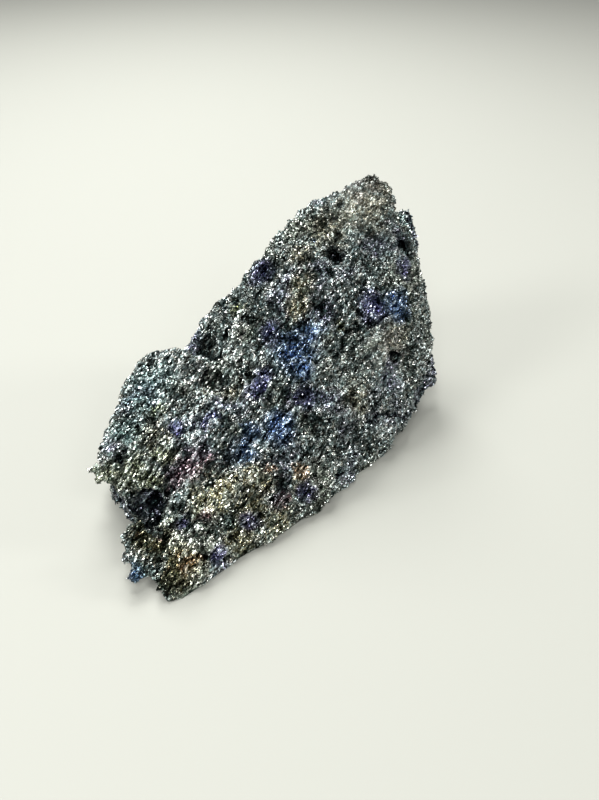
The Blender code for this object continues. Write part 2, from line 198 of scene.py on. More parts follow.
# Tarnish: how strong each colour is, and the place and the radius in millimetres of
# each of its spots.
TARNISH = {
    "straw": (0.9, {
        "peak and horn": (
            (850, 540, 903, 8.0), (905, 570, 960, 6.0), (760, 600, 820, 6.0),
            (930, 440, 830, 4.0), (680, 620, 740, 5.0),
        ),
        "left edge and shoulder": ((400, 500, 370, 5.0),),
        "right side": ((760, 200, 450, 7.0), (600, 150, 300, 6.0)),
        "low lobe and cave": ((200, 500, 320, 5.0),),
    }),
    "lime": (0.9, {
        "left edge and shoulder": ((548, 741, 540, 3.0),),
        "middle": ((645, 318, 550, 1.2),),
        "low lobe and cave": (
            (125, 470, 240, 6.5), (146, 380, 239, 3.6), (90, 540, 250, 4.0),
            (248, 574, 369, 2.0), (186, 405, 307, 3.5),
        ),
    }),
    "teal": (0.36, {
        "peak and horn": ((951, 469, 779, 4.4),),
        "low lobe and cave": (
            (293, 741, 393, 6.5), (244, 670, 376, 7.0), (175, 585, 343, 5.0),
        ),
        "lower band": ((219, 129, 110, 3.0),),
        "nub, toe and bead": ((17, 186, 70, 3.0),),
    }),
    "gold": (0.85, {
        "left edge and shoulder": ((640, 520, 670, 5.0), (600, 480, 620, 4.5)),
        "lower band": (
            (240, 220, 225, 6.5), (300, 142, 225, 6.5), (213, 66, 62, 5.0),
            (80, 110, 95, 5.0), (300, 30, 70, 6.0), (270, 100, 150, 6.0),
            (380, 60, 150, 3.5),
        ),
        "nub, toe and bead": (
            (205, 198, 187, 6.0), (80, 262, 126, 6.0), (60, 80, 80, 5.0),
        ),
    }),
    "violet": (0.85, {
        "peak and horn": ((860, 330, 670, 3.0),),
        "left edge and shoulder": ((635, 757, 643, 4.0),),
        "right side": ((735, 300, 590, 4.5),),
        "middle": ((527, 502, 541, 4.0), (503, 260, 345, 5.0), (450, 400, 400, 4.0)),
        "low lobe and cave": ((314, 416, 330, 2.8), (253, 479, 342, 2.2)),
        "lower band": (
            (146, 219, 139, 2.2), (150, 55, 70, 2.6), (250, 80, 110, 3.0),
            (390, 50, 120, 3.0),
        ),
    }),
    "blue": (1.0, {
        "peak and horn": ((729, 609, 773, 1.3),),
        "right side": ((792, 240, 560, 5.5),),
        "middle": (
            (585, 384, 555, 3.6), (530, 360, 510, 6.5), (517, 315, 466, 3.5),
            (415, 237, 302, 5.0), (361, 280, 318, 3.4),
        ),
        "lower band": ((331, 268, 261, 4.0),),
        "nub, toe and bead": ((5, 190, 70, 2.4),),
    }),
    "copper": (1.0, {
        "lower band": ((399, 94, 185, 2.6), (351, 170, 222, 2.0)),
        "nub, toe and bead": (
            (53, 125, 91, 1.6), (86, 88, 103, 2.6), (110, 78, 105, 1.6),
            (62, 300, 140, 1.4),
        ),
    }),
    "rose": (0.75, {
        "low lobe and cave": (
            (217, 347, 244, 4.2), (186, 356, 222, 3.6), (248, 338, 268, 3.6),
        ),
        "lower band": ((180, 170, 150, 2.2), (330, 60, 120, 2.4)),
        "nub, toe and bead": ((95, 240, 110, 1.4),),
    }),
}
# Spots where crystals are alike and soft in their shine, as in velvet, spots of
# painted glints and light, where nearly every crystal is bright, and spots of
# painted shade, where most are darkened, the cave among them.
VELVET = {
    "peak and horn": ((850, 520, 880, 13.0), (880, 380, 700, 8.0)),
    "right side": ((720, 200, 390, 8.0),),
}
PAINTED_GLINTS = {
    "peak and horn": ((850, 540, 920, 6.0), (965, 480, 785, 3.5), (793, 557, 887, 5.0)),
    "left edge and shoulder": (
        (548, 741, 540, 4.5), (366, 745, 437, 5.5), (368, 534, 359, 4.0),
        (487, 696, 422, 5.5),
    ),
    "right side": (
        (702, 226, 507, 5.0), (757, 162, 282, 4.0), (470, 30, 100, 4.0),
        (720, 210, 400, 5.0), (620, 225, 425, 4.5), (656, 82, 155, 7.0),
        (507, 44, 50, 5.0), (851, 190, 300, 4.5), (793, 268, 590, 3.5),
    ),
    "middle": (
        (590, 350, 540, 3.0), (450, 622, 387, 3.5), (407, 194, 269, 4.5),
        (440, 470, 430, 5.0), (387, 282, 320, 2.5),
    ),
    "low lobe and cave": (
        (236, 519, 342, 4.5), (283, 448, 333, 4.0), (205, 348, 238, 5.5),
        (408, 447, 356, 4.0), (281, 618, 387, 3.0), (118, 437, 212, 7.5),
        (244, 364, 299, 5.0), (352, 745, 429, 5.5), (138, 640, 300, 6.0),
    ),
    "lower band": (
        (205, 198, 187, 5.0), (285, 165, 205, 4.5), (414, 46, 126, 4.5),
        (177, 69, 93, 4.5),
    ),
    "nub, toe and bead": (
        (219, 155, 128, 4.5), (117, 99, 144, 3.5), (212, 138, 178, 4.0),
        (110, 44, 70, 4.0),
    ),
}
PAINTED_SHADE = {
    "peak and horn": ((665, 499, 710, 4.0), (745, 515, 711, 3.5), (905, 400, 722, 6.0)),
    "left edge and shoulder": (
        (470, 800, 364, 4.0), (569, 671, 568, 4.5), (635, 740, 650, 4.5),
    ),
    "middle": (
        (551, 560, 564, 5.5), (511, 222, 380, 3.2), (476, 157, 295, 3.5),
        (514, 564, 510, 5.5), (456, 285, 400, 3.5), (546, 118, 250, 3.0),
        (560, 450, 540, 5.0),
    ),
    "low lobe and cave": (
        (323, 358, 343, 3.5), (129, 292, 166, 2.6), (139, 358, 63, 3.0),
        (107, 437, 116, 3.0),
    ),
    "lower band": ((341, 99, 177, 3.5), (374, 294, 327, 4.5), (407, 6, 82, 6.0)),
    "nub, toe and bead": (
        (70, 290, 135, 4.5), (105, 228, 99, 3.5), (165, 190, 150, 3.2),
        (40, 100, 45, 5.0),
    ),
}

# Way to each softbox, its distance, its side and its share of the brightness.
SOFTBOXES = {
    "behind": ((0.10, 0.55, 1.00), 0.60, 0.30, 0.5),
    "front": ((-0.20, -0.90, 0.80), 0.60, 0.20, 0.4),
    "right": ((0.85, -0.60, 0.45), 0.55, 0.12, 1.3),
    "left": ((-0.95, 0.25, 0.60), 0.55, 0.16, 1.4),
    "behind on the right": ((0.50, 0.70, 0.75), 0.60, 0.22, 1.0),
    "front on the left": ((-0.50, -0.38, 0.60), 0.60, 0.16, 1.2),
    "above": ((0.00, 0.10, 1.00), 0.60, 0.12, 1.3),
}
CAMERA_AT = (-0.1310, -0.1447, 0.150)
CAMERA_WAY = (0.579, 0.579, -0.574)
SENSOR_HEIGHT = 36.0  # millimetres, as Blender keeps it
FLOOR_REACH = 3.0


# ---------------- settings


def length_setting(name, description, millimetres):
    """A setting that is a length."""
    return FloatProperty(
        name=name, description=description, default=millimetres * MILLIMETRE,
        min=0.01 * MILLIMETRE, unit="LENGTH", precision=5,
    )


def colour_setting(name, description, default):
    """A setting that is a colour."""
    return FloatVectorProperty(
        name=name, description=description, default=default,
        subtype="COLOR", min=0.0, max=1.0,
    )


def lean_setting(description, default):
    """A setting that says how far crystals lean."""
    return FloatProperty(name="Lean", description=description, default=default, min=0.0)


class CrustSettings(bpy.types.PropertyGroup):
    """Sizes of the crust that the crystals grow on."""

    cell: length_setting("Mesh cell", "Side of the fine mesh's cells", 0.36)
    lump_width: length_setting("Lump width", "Distance between the large lumps", 6.5)
    lump_height: length_setting("Lump height", "How far the large lumps stand out", 0.9)
    clump_width: length_setting("Clump width", "Distance between the clumps", 3.0)
    clump_height: length_setting("Clump height", "How far the clumps stand out", 0.55)
    knob_width: length_setting("Knob width", "Distance between the knobs", 1.4)
    knob_height: length_setting("Knob height", "How far the knobs stand out", 0.40)
    gap_width: length_setting("Gap width", "Distance between the deep gaps", 2.2)
    gap_depth: length_setting("Gap depth", "Depth of the deep gaps", 1.2)
    patch_width: length_setting("Patch width", "Distance between rough patches", 8.0)
    facet_width: length_setting("Facet width", "Distance between the flat facets", 0.62)
    strand_width: length_setting("Strand width", "Distance between the strands", 0.85)
    strand_height: length_setting("Strand height", "How far the strands stand out", 1.0)
    sink: length_setting("Sink", "How far the crust lies inside the solid", 0.3)
    facet_tilt: FloatProperty(
        name="Facet tilt", description="Slope of the flat facets",
        default=1.05, min=0.0,
    )
    pieces: IntProperty(
        name="Pieces", description="Number of pieces that the crust is kept in",
        default=3, min=1,
    )


class PlateSettings(bpy.types.PropertyGroup):
    """Number and size of the six-sided plates."""

    number: IntProperty(
        name="Plates", description="Number of plates", default=5800, min=1,
    )
    width: length_setting("Width", "Width of a middling plate", 0.80)
    lean: lean_setting("How far plates lean away from upright", 0.54)


class SplinterSettings(bpy.types.PropertyGroup):
    """Number and size of the four-sided splinters."""

    groups: IntProperty(
        name="Groups", description="Number of pieces that the splinters are kept in",
        default=3, min=1,
    )
    number: IntProperty(
        name="Splinters", description="Number of splinters in each group",
        default=12400, min=1,
    )
    width: length_setting("Width", "Width of a middling splinter", 0.33)
    lean: lean_setting("How far splinters lean away from upright", 0.648)


class TarnishSettings(bpy.types.PropertyGroup):
    """Colours of the metal and its tarnish."""

    dark: colour_setting("Dark metal", "The dullest", (0.012, 0.019, 0.0175))
    silver: colour_setting("Bright metal", "The brightest", (0.95, 0.972, 0.955))
    cool: colour_setting("Cool", "Clean metal of a low tone", (0.86, 0.99, 1.0))
    warm: colour_setting("Warm", "Clean metal of a high tone", (1.0, 0.97, 0.92))
    blue: colour_setting("Blue", "Tarnish of the middle", (0.30, 0.54, 1.0))
    violet: colour_setting("Violet", "Tarnish round the blue", (0.50, 0.47, 1.0))
    teal: colour_setting("Teal", "Tarnish of lobe, horn and bead", (0.48, 0.92, 0.92))
    lime: colour_setting("Lime", "Tarnish of the lobe's rim", (0.98, 1.0, 0.70))
    straw: colour_setting("Straw", "Tarnish of peak and right side", (1.0, 0.93, 0.76))
    gold: colour_setting("Gold", "Tarnish of the lower band", (1.0, 0.90, 0.56))
    copper: colour_setting("Copper", "Tarnish in small spots", (1.0, 0.68, 0.42))
    rose: colour_setting("Rose", "Tarnish above the cave", (1.0, 0.66, 0.78))


class StudioSettings(bpy.types.PropertyGroup):
    """The floor, the light and the camera."""

    floor: colour_setting("Floor", "Colour of the floor", (0.37, 0.375, 0.335))
    room: FloatProperty(
        name="Room light", description="Brightness of the room all round",
        default=0.175, min=0.0,
    )
    softbox: FloatProperty(
        name="Softbox light", description="Brightness of the softboxes",
        default=16.6, min=0.0,
    )
    lens: FloatProperty(
        name="Lens", description="Focal length for a picture 36 mm high",
        default=40.5, min=1.0, unit="CAMERA",
    )


CrustSizes = collections.namedtuple("CrustSizes", CrustSettings.__annotations__)


# ---------------- numbers


def place(share):
    """A point given in thousandths of the solid's box."""
    return LOW + np.array(share) / 1000 * SPAN


def blend(value, start, end):
    """0 at start, 1 at end, and 3t^2 - 2t^3 of the way t between them."""
    t = np.clip((value - start) / (end - start), 0.0, 1.0)
    return t * t * (3 - 2 * t)


def unit(vectors):
    """Each row divided by its length."""
    return vectors / np.maximum(np.linalg.norm(vectors, axis=-1, keepdims=True), 1e-12)


def noise(points, width, seed):
    """Smooth noise from -1 to 1.

    Random numbers stand on a lattice this wide, and each point blends the
    eight round it by 3t^2 - 2t^3 of the way t along each axis.
    """
    table = np.random.default_rng(seed).uniform(-1, 1, (NOISE_TABLE,) * 3)
    low = np.floor(points / width).astype(int)
    t = points / width - low
    t = t * t * (3 - 2 * t)
    total = np.zeros(len(points))
    for corner in itertools.product((0, 1), repeat=3):
        weight = np.where(corner, t, 1 - t).prod(axis=1)
        total += weight * table[tuple(((low + corner) % NOISE_TABLE).T)]
    return total


def cells(points, width, seed):
    """The cell of each point among random centres, one in each cube this wide.

    Gives the offset from the nearest centre and that centre's number.
    """
    inside = np.random.default_rng(seed).uniform(0, 1, (NOISE_TABLE**3, 3))
    home = np.floor(points / width).astype(int)
    nearest = np.full(len(points), np.inf)
    offset = np.zeros_like(points)
    number = np.zeros(len(points), int)
    for step in itertools.product((-1, 0, 1), repeat=3):
        cube = home + step
        index = (cube % NOISE_TABLE) @ (NOISE_TABLE**2, NOISE_TABLE, 1)
        away = points - (cube + inside[index]) * width
        gap = (away**2).sum(axis=1)
        nearer = gap < nearest
        nearest[nearer] = gap[nearer]
        offset[nearer] = away[nearer]
        number[nearer] = index[nearer]
    return offset, number


def along_grain(points, stretch):
    """The points squeezed along the grain, so that a noise on them is drawn out."""
    along = points @ GRAIN
    return points - np.outer(along * (1 - 1 / stretch), GRAIN)


def strand_share(points):
    """1 on the low lobe, where the surface is drawn into strands, 0 at the peak.

    It is a smooth step down the length, times one across the width that leaves
    only a little of them to the lower band, along the near foot.
    """
    along, across, _ = ((points - LOW) / SPAN).T
    low_end = blend(along, STRANDS_FROM, STRANDS_TO)
    return low_end * (BAND_STRANDS + (1 - BAND_STRANDS) * blend(across, *BAND_EDGE))


# ---------------- the crust


def placed(name, data):
    """An object made of this data, in the scene."""
    made = bpy.data.objects.new(name, data)
    bpy.context.collection.objects.link(made)
    return made


def listed(items, name, width=1, kind=float):
    """One property of every item as an array, in rows this wide."""
    values = np.empty(len(items) * width, kind)
    items.foreach_get(name, values)
    return values.reshape(-1, width) if width > 1 else values


def evaluated(mesh, modifiers):
    """A mesh after its modifiers: its points, normals and triangles.

    Each modifier is its kind and its settings.
    """
    copy = placed("copy", mesh)
    for kind, settings in modifiers:
        modifier = copy.modifiers.new(kind, kind)
        for name, value in settings.items():
            setattr(modifier, name, value)
    bpy.context.view_layer.update()
    made = copy.evaluated_get(bpy.context.evaluated_depsgraph_get()).to_mesh()
    points, normals = (listed(made.vertices, name, 3) for name in ("co", "normal"))
    corners = listed(made.loops, "vertex_index", kind=int).reshape(-1, 3)
    bpy.data.objects.remove(copy)
    bpy.data.meshes.remove(mesh)
    return points, normals, corners


def without_loose_bits(points, normals, corners):
    """The largest connected part of a surface.

    Each point takes the lowest number among its own and its neighbours', and
    then that number's own, until nothing changes. The commonest number is kept.
    """
    ends = np.concatenate((corners[:, :2], corners[:, 1:]))
    mark, lower = None, np.arange(len(points))
    while mark is None or (lower != mark).any():
        mark, lower = lower, lower.copy()
        np.minimum.at(lower, ends[:, 0], mark[ends[:, 1]])
        np.minimum.at(lower, ends[:, 1], mark[ends[:, 0]])
        lower = lower[lower]
    keep = mark == np.bincount(mark).argmax()
    number = np.cumsum(keep) - 1
    return points[keep], normals[keep], number[corners[keep[corners[:, 0]]]]


def fine_copy(cell):
    """A fine, even, smooth copy of the solid: its points, normals and triangles."""
    mesh = bpy.data.objects[SOLID].data.copy()
    shape = bmesh.new()
    shape.from_mesh(mesh)
    bmesh.ops.remove_doubles(shape, verts=shape.verts, dist=MILLIMETRE / 1000)
    shape.to_mesh(mesh)
    shape.free()
    return without_loose_bits(*evaluated(mesh, (
        ("REMESH", {"mode": "VOXEL", "voxel_size": cell}),
        ("SMOOTH", {"factor": 0.5, "iterations": 4}),
        ("TRIANGULATE", {}),
    )))


def kept_thick(points, normals, corners, moves):
    """The moves, held to a share of the solid's thickness.

    They go outwards by half of it at most, and inwards by less, and by less
    still where the solid is thin. A copy of the surface, a little inside it, is
    thrown inwards along its normals onto the far wall, and the way it goes is
    the thickness.
    """
    start = points - normals * JUST_INSIDE * MILLIMETRE
    mesh = make_mesh("inside", start, corners.ravel(), np.full(len(corners), 3))
    far, _, _ = evaluated(mesh, ((
        "SHRINKWRAP",
        {
            "target": bpy.data.objects[SOLID],
            "wrap_method": "PROJECT",
            "use_positive_direction": False,
            "use_negative_direction": True,
        },
    ),))
    thick = np.linalg.norm(far - start, axis=1)
    thick = np.where(thick > 0, thick, SPAN[2])
    firm = blend(thick, 0.0, THIN)
    return np.clip(moves, -INWARDS * thick * firm, thick / 2)


def hollows(points):
    """How deep each point lies in the named pits and creases.

    Each is a bell of the distance from its place, or from the line between its
    two places, over its radius, and the deepest one counts. Noise shakes the
    points first, further for a wide one, so that no rim is round.
    """
    shake = np.stack([noise(points, SHAKE_WIDTH, seed) for seed in SHAKES], -1)
    depth = np.zeros(len(points))
    lines = [(share, share, radius, deep) for share, radius, deep in PITS.values()]
    for start, end, radius, deep in lines + list(CREASES.values()):
        start, along = place(start), place(end) - place(start)
        length = max(float(along @ along), 1e-12)
        shaken = points + shake * (SHAKE_LEAST + SHAKE_MORE * radius) * MILLIMETRE
        nearest = np.clip((shaken - start) @ along / length, 0, 1)
        gap = np.linalg.norm(shaken - start - nearest[:, None] * along, axis=1)
        bell = np.exp(-BELL * (gap / (radius * MILLIMETRE)) ** 2)
        depth = np.maximum(depth, deep * MILLIMETRE * bell)
    return depth


def billows(points, width, seed):
    """Round hills, 1 high at most, with sharp creases between them.

    Each height is a slope times the size of a noise, less the depth between.
    """
    size = np.abs(noise(points, width, seed))
    return np.minimum(HILL_SLOPE * size - HILL_FOOT, 1.0)


def leaning_facets(points, normals, stretch, width, seed):
    """Each cell of the surface as a plane that leans its own way.

    A point rises by its offset from the cell's centre along the cell's random
    way, laid into the surface. Also gives each point's cell number.
    """
    offset, number = cells(along_grain(points, stretch), width, seed)
    ways = unit(np.random.default_rng(seed).normal(size=(NOISE_TABLE**3, 3)))[number]
    ways = ways - (ways * normals).sum(axis=1, keepdims=True) * normals
    return (offset * ways).sum(axis=1), number


def relief(points, normals, size):
    """How far each point of the crust moves out along its normal.

    Large lumps are smooth noise, clumps and knobs are round hills with sharp
    creases, and rare peaks of another noise are deep gaps, all more so in the
    rough patches. At the low end they give way to strands, which are such hills
    drawn out along the grain. Last come the leaning facets. Also gives the
    height without them, from 0 in the gaps to 1 on the tops, and each point's
    facet number.
    """
    drawn = strand_share(points)
    rough = blend(noise(points, size.patch_width, PATCHES), *ROUGH_LEVELS)
    rough = ROUGH_LEAST + ROUGH_MORE * rough
    lumps = noise(points, size.lump_width, LUMPS) * size.lump_height
    clumps = billows(along_grain(points, CLUMP_STRETCH), size.clump_width, CLUMPS)
    knobs = billows(along_grain(points, KNOB_STRETCH), size.knob_width, KNOBS)
    strands = billows(along_grain(points, STRAND_STRETCH), size.strand_width, STRANDS)
    gaps = noise(along_grain(points, GAP_STRETCH), size.gap_width, GAPS)
    gaps = blend(gaps, *GAP_LEVELS) * size.gap_depth
    rise = clumps * size.clump_height + knobs * size.knob_height
    rise *= rough * (1 - HILLS_LOST * drawn)
    share = STRANDS_ELSEWHERE + (1 - STRANDS_ELSEWHERE) * drawn
    rise += strands * size.strand_height * share
    rise -= gaps * rough * (1 - GAPS_LOST * drawn) + hollows(points)
    height = rise + LUMPS_IN_LEVEL * lumps
    level = blend(height, *np.percentile(height, LEVEL_ENDS))
    width = size.facet_width
    plain, number = leaning_facets(points, normals, FACET_STRETCH, width, FACETS)
    long, _ = leaning_facets(points, normals, LONG_FACET_STRETCH, width, LONG_FACETS)
    facets = plain * (1 - drawn) + LONG_FACET_TILT * long * drawn
    facets *= size.facet_tilt
    return lumps + rise + facets - size.sink, level, number


@functools.lru_cache(maxsize=1)
def crust_shape(size):
    """The crust: its points, smooth normals, triangles, levels and facet numbers.

    Each point of the fine copy moves along its normal by its relief, by less
    near the floor, and never below it. The last crust made is kept, because
    the crystals are seated on it.
    """
    points, normals, corners = fine_copy(size.cell)
    moves, level, number = relief(points, normals, size)
    moves = moves * blend(points[:, 2], 0.0, FLOOR_CLEAR)
    moves = kept_thick(points, normals, corners, moves)
    moved = points + normals * moves[:, None]
    moved[:, 2] = np.maximum(moved[:, 2], 0.0)
    return moved, normals, corners, level, number


def crust_of(scene):
    """The crust's shape for a scene's settings."""
    settings = scene.crystal_crust
    sizes = (getattr(settings, name) for name in CrustSizes._fields)
    return crust_shape(CrustSizes(*sizes))


def make_mesh(name, points, corners, sides):
    """A mesh of flat faces from whole arrays.

    The corners are point numbers, face after face, and sides says how many of
    them each face has.
    """
    mesh = bpy.data.meshes.new(name)
    mesh.vertices.add(len(points))
    mesh.vertices.foreach_set("co", np.asarray(points, np.float32).ravel())
    mesh.loops.add(len(corners))
    mesh.loops.foreach_set("vertex_index", np.asarray(corners, np.int32))
    mesh.polygons.add(len(sides))
    starts = np.concatenate(([0], np.cumsum(sides)[:-1])).astype(np.int32)
    mesh.polygons.foreach_set("loop_start", starts)
    mesh.update(calc_edges=True)
    mesh.validate()
    mesh.polygons.foreach_set("use_smooth", np.zeros(len(sides), bool))
    return mesh


def add_numbers(mesh, name, domain, values, kind="FLOAT"):
    """A named number on each point or face, which the finish or the flat map reads."""
    layer = mesh.attributes.new(name, kind, domain)
    form = np.float32 if kind == "FLOAT" else np.int32
    layer.data.foreach_set("value", np.asarray(values, form))


def add_map(mesh, places):
    """The flat map named OFBake, as a place for each corner."""
    flat = mesh.uv_layers.new(name="OFBake", do_init=False)
    flat.uv.foreach_set("vector", places.astype(np.float32).ravel())


def add_piece(name, mesh, finish):
    """The mesh as a piece of the object, at the origin, in the crystal's finish."""
    piece = placed(name, mesh)
    mesh.materials.append(finish)
    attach(piece, "root")
    return piece


def sides_faced(normals, corners):
    """The side of the box that each face is nearest to facing.

    0, 1 and 2 for X, Y and Z, and 3, 4 and 5 for their backs.
    """
    facing = normals[corners].sum(axis=1)
    axis = np.abs(facing).argmax(axis=1)
    return axis + 3 * (facing[np.arange(len(axis)), axis] < 0)


def split_mesh(mesh, number):
    """The mesh cut across its length into closed pieces of equal numbers of faces.

    Each face's place along the length is first evened out with its neighbours',
    so that no bump past a cut comes off as a bit of its own. Neighbours share the
    points of the cut, where each is closed by a wall inside.
    """
    along = listed(mesh.polygons, "center", 3)[:, 0]
    corners = listed(mesh.loops, "vertex_index", kind=int)
    faces_there = np.maximum(np.bincount(corners), 1)
    for _ in range(CUT_EVENED):
        there = np.bincount(corners, np.repeat(along, 3)) / faces_there
        along = there[corners].reshape(-1, 3).mean(axis=1)
    cuts = np.quantile(along, np.linspace(0, 1, number + 1))
    cuts[-1] += 1.0
    pieces = []
    for start, end in zip(cuts[:-1], cuts[1:]):
        shape = bmesh.new()
        shape.from_mesh(mesh)
        shape.faces.ensure_lookup_table()
        spare = np.flatnonzero((along < start) | (along >= end))
        spare = [shape.faces[face] for face in spare]
        bmesh.ops.delete(shape, geom=spare, context="FACES")
        rim = [edge for edge in shape.edges if edge.is_boundary]
        bmesh.ops.holes_fill(shape, edges=rim, sides=0)
        piece = bpy.data.meshes.new(mesh.name)
        shape.to_mesh(piece)
        shape.free()
        pieces.append(piece)
    bpy.data.meshes.remove(mesh)
    return pieces


def box_map(mesh):
    """A flat map of the crust.

    Each face is seen square on from the side that it faces, and the six
    pictures stand in two columns and three rows.
    """
    points = listed(mesh.vertices, "co", 3)
    corners = listed(mesh.loops, "vertex_index", kind=int)
    side = listed(mesh.attributes["side"].data, "value", kind=int)
    side = np.repeat(side, listed(mesh.polygons, "loop_total", kind=int))
    low, high = points.min(axis=0), points.max(axis=0)
    share = ((points - low) / (high - low))[corners]
    axis, back = side % 3, side // 3
    across = np.where(axis == 0, share[:, 1], share[:, 0])
    up = np.where(axis == 2, share[:, 1], share[:, 2])
    u = (MAP_EDGE + across * (1 - 2 * MAP_EDGE) + back) / 2
    v = (MAP_EDGE + up * (1 - 2 * MAP_EDGE) + axis) / 3
    add_map(mesh, np.stack((u, v), -1))


# ---------------- grown crystals


class Habit(NamedTuple):
    """How a kind of crystal grows."""

    seed: int
    sides: int
    clear: float  # how far above the floor it starts, in millimetres
    shy: float  # how far it shies away from the gaps
    shun: float  # how far it shuns the drawn-out low end
    drawn: float  # how far its long side follows the grain
    spread: float  # how much its width varies
    stretch: tuple  # the least and the most of what lengthens its long side
    strand_stretch: float  # what strands add to that
    narrowing: float  # the power of that which narrows its short side
    height: tuple  # the least and the most of half its height, in half widths
    proud: float  # how far its middle stands out of the crust, in half widths


PLATE = Habit(
    seed=PLATES, sides=6, clear=1.0, shy=0.9, shun=0.75, drawn=0.8,
    spread=0.22, stretch=(1.0, 1.5), strand_stretch=0.0, narrowing=1.0,
    height=(0.22, 0.5), proud=0.15,
)
SPLINTER = Habit(
    seed=SPLINTERS, sides=4, clear=0.6, shy=0.75, shun=0.35, drawn=1.0,
    spread=0.25, stretch=(1.5, 3.2), strand_stretch=3.0, narrowing=0.4,
    height=(0.5, 1.1), proud=0.2,
)


def crystal_prisms(name, sides, centres, axes, across, half, finish, spark, tone):
    """Closed prisms, one at each centre.

    A corner of the inner end is the centre plus the cosine of its turn times the
    long half width, along the first way across, and the sine times the short one
    along the second, and the outer end is the same outline, drawn in a little.
    The map gives each prism one square of a grid, its outer end inside its inner
    one, and neighbours in space are neighbours on the grid.
    """
    number = len(centres)
    first, second, widths = across
    turn = 2 * np.pi * (np.arange(sides) + 0.5) / sides
    ring = np.stack((np.cos(turn), np.sin(turn)), -1)
    ends = np.array((1.0, OUTER_END))
    height = np.array((-1.0, 1.0))
    flat = (
        ring[None, None, :, 0, None] * (first * widths[:, :1])[:, None, None, :]
        + ring[None, None, :, 1, None] * (second * widths[:, 1:])[:, None, None, :]
    )
    points = (
        centres[:, None, None, :]
        + flat * ends[None, :, None, None]
        + axes[:, None, None, :] * (half[:, None] * height)[:, :, None, None]
    )
    points[..., 2] = np.maximum(points[..., 2], 0.0)
    k = np.arange(sides)
    after = (k + 1) % sides
    inner, outer = k[::-1], k + sides
    walls = np.stack((k, after, after + sides, k + sides), -1).ravel()
    one = np.concatenate((outer, inner, walls))
    corners = (one[None, :] + np.arange(number)[:, None] * 2 * sides).ravel()
    counts = np.tile([sides, sides] + [4] * sides, number)
    mesh = make_mesh(name, points.reshape(-1, 3), corners, counts)
    add_numbers(mesh, "spark", "POINT", np.repeat(spark, 2 * sides))
    add_numbers(mesh, "tone", "POINT", np.repeat(tone, 2 * sides))
    rows = math.ceil(math.sqrt(number))
    square = np.stack((np.arange(number) % rows, np.arange(number) // rows), -1) + 0.5
    reach = np.array(MAP_REACH)
    uv = (square[:, None, None, :] + ring * reach[None, :, None, None]) / rows
    add_map(mesh, uv.reshape(-1, 2)[corners])
    return add_piece(name, mesh, finish)


def order_in_space(points):
    """An order in which points close in space stay close: strips along the length."""
    column = np.floor((points[:, 0] - LOW[0]) / STRIP_WIDTH)
    around = np.arctan2(points[:, 2] - LOW[2] - SPAN[2] / 3, points[:, 1])
    return np.lexsort((around, column))


def seats(crust, number, rng, habit):
    """Random places on the crust, as many to each face as its area gives.

    There are fewer in the gaps and on the drawn-out low end. Gives the places,
    the smooth normals there and the level, from gap to top.
    """
    points, normals, corners, level, _ = crust
    a, b, c = (points[corners[:, k]] for k in range(3))
    area = np.linalg.norm(np.cross(b - a, c - a), axis=1)
    height = level[corners].mean(axis=1)
    weight = area * (1 - habit.shy + habit.shy * height)
    clear = habit.clear * MILLIMETRE
    weight *= (a[:, 2] > clear) & (b[:, 2] > clear)
    weight *= 1 - habit.shun * strand_share(a)
    face = rng.choice(len(corners), number, p=weight / weight.sum())
    share = rng.dirichlet((1, 1, 1), number)
    spot = (points[corners[face]] * share[:, :, None]).sum(axis=1)
    normal = unit(normals[corners[face]].sum(axis=1))
    order = order_in_space(spot)
    return spot[order], normal[order], height[face][order]


def gap_shaded_sparks(rng, level):
    """How bright each crystal is: a random share, times painted shade that darkens it
    down in the gaps, by its level.
    """
    return rng.uniform(0, 1, len(level)) * (GAP_SHADE + (1 - GAP_SHADE) * level)


def crystal_frames(spot, normal, rng, lean, drawn_out):
    """The axis of each crystal and the two ways across it.

    The axis is the normal plus a random vector of length lean, and where the
    surface is drawn into strands the long way across turns towards the grain.
    """
    strands = strand_share(spot)[:, None]
    axes = unit(normal + lean * rng.normal(size=spot.shape) * (1 - LEAN_LOST * strands))
    drawn = (DRAWN_ELSEWHERE + (1 - DRAWN_ELSEWHERE) * strands) * drawn_out
    longways = rng.normal(size=spot.shape) * (1 - GRAIN_HOLD * drawn)
    longways = unit(longways + GRAIN_PULL * drawn * GRAIN)
    first = unit(longways - (longways * axes).sum(axis=1, keepdims=True) * axes)
    return axes, first, np.cross(axes, first)


def grow(scene, name, habit, size, group=0):
    """Crystals of one habit, all over the crust, as one piece.

    Half the width of each is a lognormal share of half the middling one, and
    less among the strands. Its long side is that times a random stretch, and
    its short side that over a power of the stretch.
    """
    rng = np.random.default_rng(habit.seed + group)
    spot, normal, level = seats(crust_of(scene), size.number, rng, habit)
    axes, first, second = crystal_frames(spot, normal, rng, size.lean, habit.drawn)
    drawn = strand_share(spot)
    width = size.width / 2 * rng.lognormal(0.0, habit.spread, len(spot))
    width = width * (1 - NARROWER * drawn)
    stretch = rng.uniform(*habit.stretch, len(spot)) + habit.strand_stretch * drawn**2
    widths = np.stack((width * stretch, width / stretch**habit.narrowing), -1)
    half = width * rng.uniform(*habit.height, len(spot))
    centres = spot + normal * (habit.proud * width)[:, None]
    # Each crystal's spark holds painted shade, darker down in the gaps.
    crystal_prisms(
        name, habit.sides, centres, axes, (first, second, widths), half,
        crystal_finish(scene.crystal_tarnish),
        gap_shaded_sparks(rng, level), rng.uniform(0, 1, len(spot)),
    )


# ---------------- the finish


